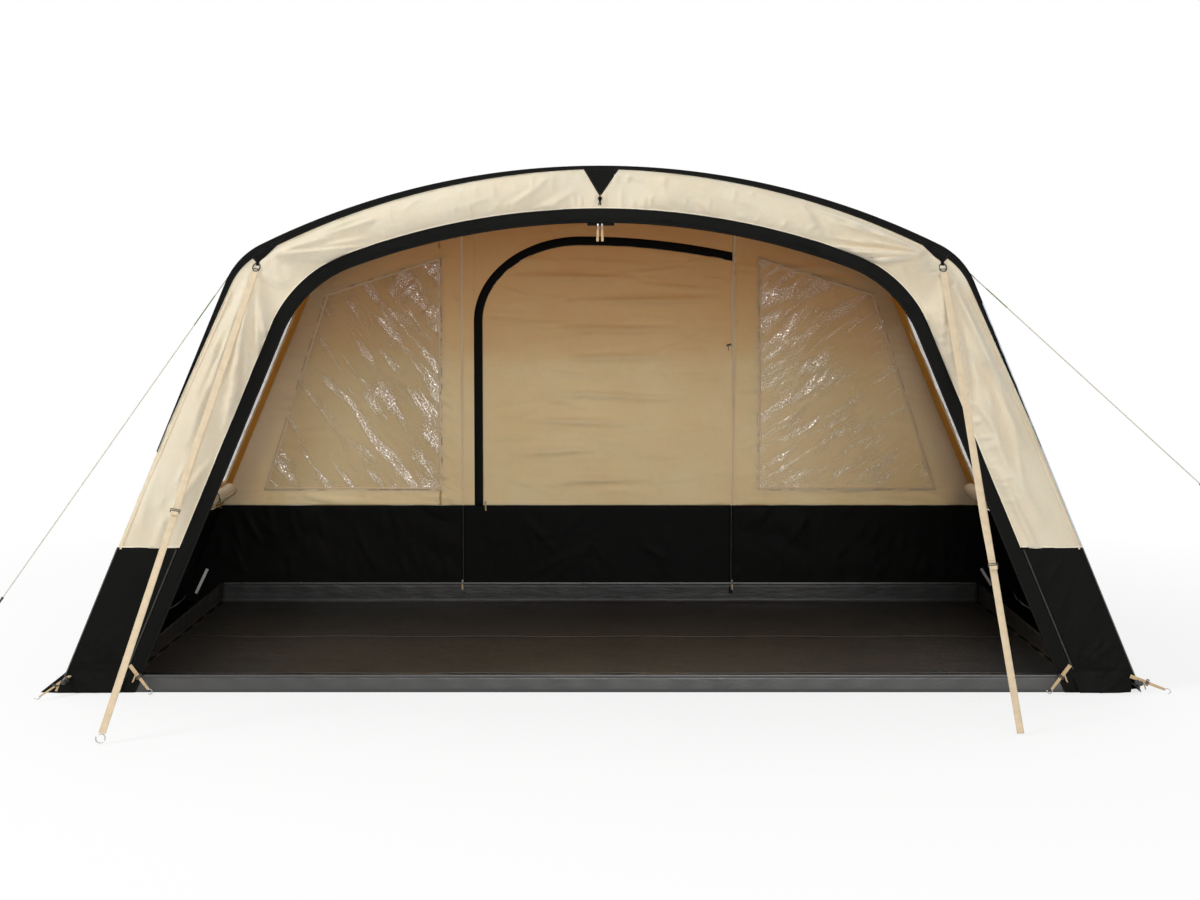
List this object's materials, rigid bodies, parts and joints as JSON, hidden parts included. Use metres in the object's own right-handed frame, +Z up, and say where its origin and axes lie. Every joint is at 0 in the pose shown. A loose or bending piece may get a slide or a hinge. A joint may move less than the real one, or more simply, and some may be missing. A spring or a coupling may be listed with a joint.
{
  "type": "inflatable tent",
  "caption": "Tunnel tent carried by arched air beams, with a wide open front, a bathtub groundsheet, clear windows, black mudwalls and a zipped rear door.",
  "frame": {"origin": "middle of the groundsheet's underside, on the ground", "axes": "+X to the right seen from the open front, +Y from the open front to the rear wall, +Z up"},
  "size_m": [4.9997, 3.5062, 2.16],
  "materials": {
    "tan_cloth": "matt sand-coloured coated polyester",
    "black_cloth": "matt black coated polyester",
    "floor_sheet": "dark brown-grey coated groundsheet with a slight sheen",
    "clear_film": "clear flexible window film",
    "webbing": "beige woven webbing",
    "beam_skin": "grey air beam skin",
    "dark_plastic": "black moulded plastic",
    "bright_metal": "plated steel",
    "rope_fibre": "thin twisted grey-brown guy rope"
  },
  "bodies": {
    "tent": {"roof_panel": "tan_cloth", "side_wall_left": "tan_cloth", "side_wall_right": "tan_cloth", "side_blind_left": "tan_cloth", "side_blind_right": "tan_cloth", "front_face": "tan_cloth", "rear_panel_left": "tan_cloth", "rear_panel_right": "tan_cloth", "door_surround": "tan_cloth", "rear_cover_left": "tan_cloth", "rear_cover_right": "tan_cloth", "side_mudwall_left": "black_cloth", "side_mudwall_right": "black_cloth", "front_mudwall_left": "black_cloth", "front_mudwall_right": "black_cloth", "opening_band": "black_cloth", "roof_edge_strip": "black_cloth", "patch_centre": "black_cloth", "patch_left": "black_cloth", "patch_right": "black_cloth", "door_zip_band": "black_cloth", "rear_mudwall_left": "black_cloth", "rear_mudwall_right": "black_cloth", "guy_tab_left": "black_cloth", "guy_tab_right": "black_cloth", "groundsheet": "floor_sheet", "side_window_left": "clear_film", "side_window_right": "clear_film", "rear_window_left": "clear_film", "rear_window_right": "clear_film", "storm_strap_left": "webbing", "storm_strap_right": "webbing", "corner_strap_left": "webbing", "corner_strap_right": "webbing", "sheet_strap_left": "webbing", "sheet_strap_right": "webbing", "front_beam": "beam_skin", "rear_beam": "beam_skin", "front_valve": "dark_plastic", "rear_valve": "dark_plastic", "shoulder_hook_left": "bright_metal", "shoulder_hook_right": "bright_metal", "guy_rope_left": "rope_fibre", "guy_rope_right": "rope_fibre"},
    "rear_door": {"rear_door": "tan_cloth"},
    "door_zip_slider": {"door_zip_slider": "bright_metal"},
    "mudwall_flap": {"mudwall_flap": "black_cloth"},
    "mudwall_slider_left": {"mudwall_slider_left": "bright_metal"},
    "mudwall_slider_right": {"mudwall_slider_right": "bright_metal"},
    "front_pull_left": {"front_pull_left": "webbing"},
    "front_pull_right": {"front_pull_right": "webbing"},
    "strap_buckle_left": {"strap_buckle_left": "bright_metal"},
    "strap_buckle_right": {"strap_buckle_right": "bright_metal"},
    "strap_ring_left": {"strap_ring_left": "bright_metal"},
    "guy_runner_left": {"guy_runner_left": "dark_plastic"},
    "guy_runner_right": {"guy_runner_right": "dark_plastic"},
    "front_valve_cap": {"front_valve_cap": "dark_plastic"},
    "rear_valve_cap": {"rear_valve_cap": "dark_plastic"},
    "centre_toggle": {"centre_toggle": "dark_plastic"}
  },
  "joints": [
    {"name": "rear_door_swing", "type": "hinge", "parent": "tent", "child": "rear_door", "pos_m": [0.6997, 1.197, 1.2], "axis": [0, 0, 1], "range_deg": [0, 110]},
    {"name": "door_zip_slide", "type": "slide", "parent": "rear_door", "child": "door_zip_slider", "axis": [0, 0, 1], "range_m": [0, 0.94]},
    {"name": "mudwall_flap_fold", "type": "hinge", "parent": "tent", "child": "mudwall_flap", "pos_m": [0, 1.2, 0.0003], "axis": [-1, 0, 0], "range_deg": [0, 90]},
    {"name": "mudwall_slide_left", "type": "slide", "parent": "tent", "child": "mudwall_slider_left", "axis": [0, 0, 1], "range_m": [0, 0.39]},
    {"name": "mudwall_slide_right", "type": "slide", "parent": "tent", "child": "mudwall_slider_right", "axis": [0, 0, 1], "range_m": [0, 0.39]},
    {"name": "front_zip_left", "type": "hinge", "parent": "tent", "child": "front_pull_left", "pos_m": [0, -1.1985, -0.99], "axis": [0, 1, 0], "range_deg": [-19.5, 0]},
    {"name": "front_zip_right", "type": "hinge", "parent": "tent", "child": "front_pull_right", "pos_m": [0, -1.1985, -0.99], "axis": [0, 1, 0], "range_deg": [0, 19.5]},
    {"name": "buckle_slide_left", "type": "slide", "parent": "tent", "child": "strap_buckle_left", "axis": [0.2148, 0.4619, 0.8605], "range_m": [-0.3, 0.3]},
    {"name": "buckle_slide_right", "type": "slide", "parent": "tent", "child": "strap_buckle_right", "axis": [-0.0929, 0.4056, 0.9093], "range_m": [-0.3, 0.3]},
    {"name": "strap_ring_turn", "type": "hinge", "parent": "tent", "child": "strap_ring_left", "pos_m": [-1.82222, -2.13328, 0.03715], "axis": [0.9767, -0.1016, -0.1893], "range_deg": [-60, 20]},
    {"name": "runner_slide_left", "type": "slide", "parent": "tent", "child": "guy_runner_left", "axis": [0.5845, 0, 0.8114], "range_m": [0, 0.25]},
    {"name": "runner_slide_right", "type": "slide", "parent": "tent", "child": "guy_runner_right", "axis": [-0.744, 0, 0.6681], "range_m": [0, 0.25]},
    {"name": "front_valve_cap_turn", "type": "hinge", "parent": "tent", "child": "front_valve_cap", "pos_m": [1.89249, -1.1239, 0.39076], "axis": [0, -1, 0], "range_deg": [0, 120]},
    {"name": "rear_valve_cap_turn", "type": "hinge", "parent": "tent", "child": "rear_valve_cap", "pos_m": [1.89249, 1.2751, 0.39076], "axis": [0, -1, 0], "range_deg": [0, 120]},
    {"name": "centre_toggle_swing", "type": "hinge", "parent": "tent", "child": "centre_toggle", "pos_m": [0, -1.2113, 2.0447], "axis": [-1, 0, 0], "range_deg": [0, 70]}
  ]
}
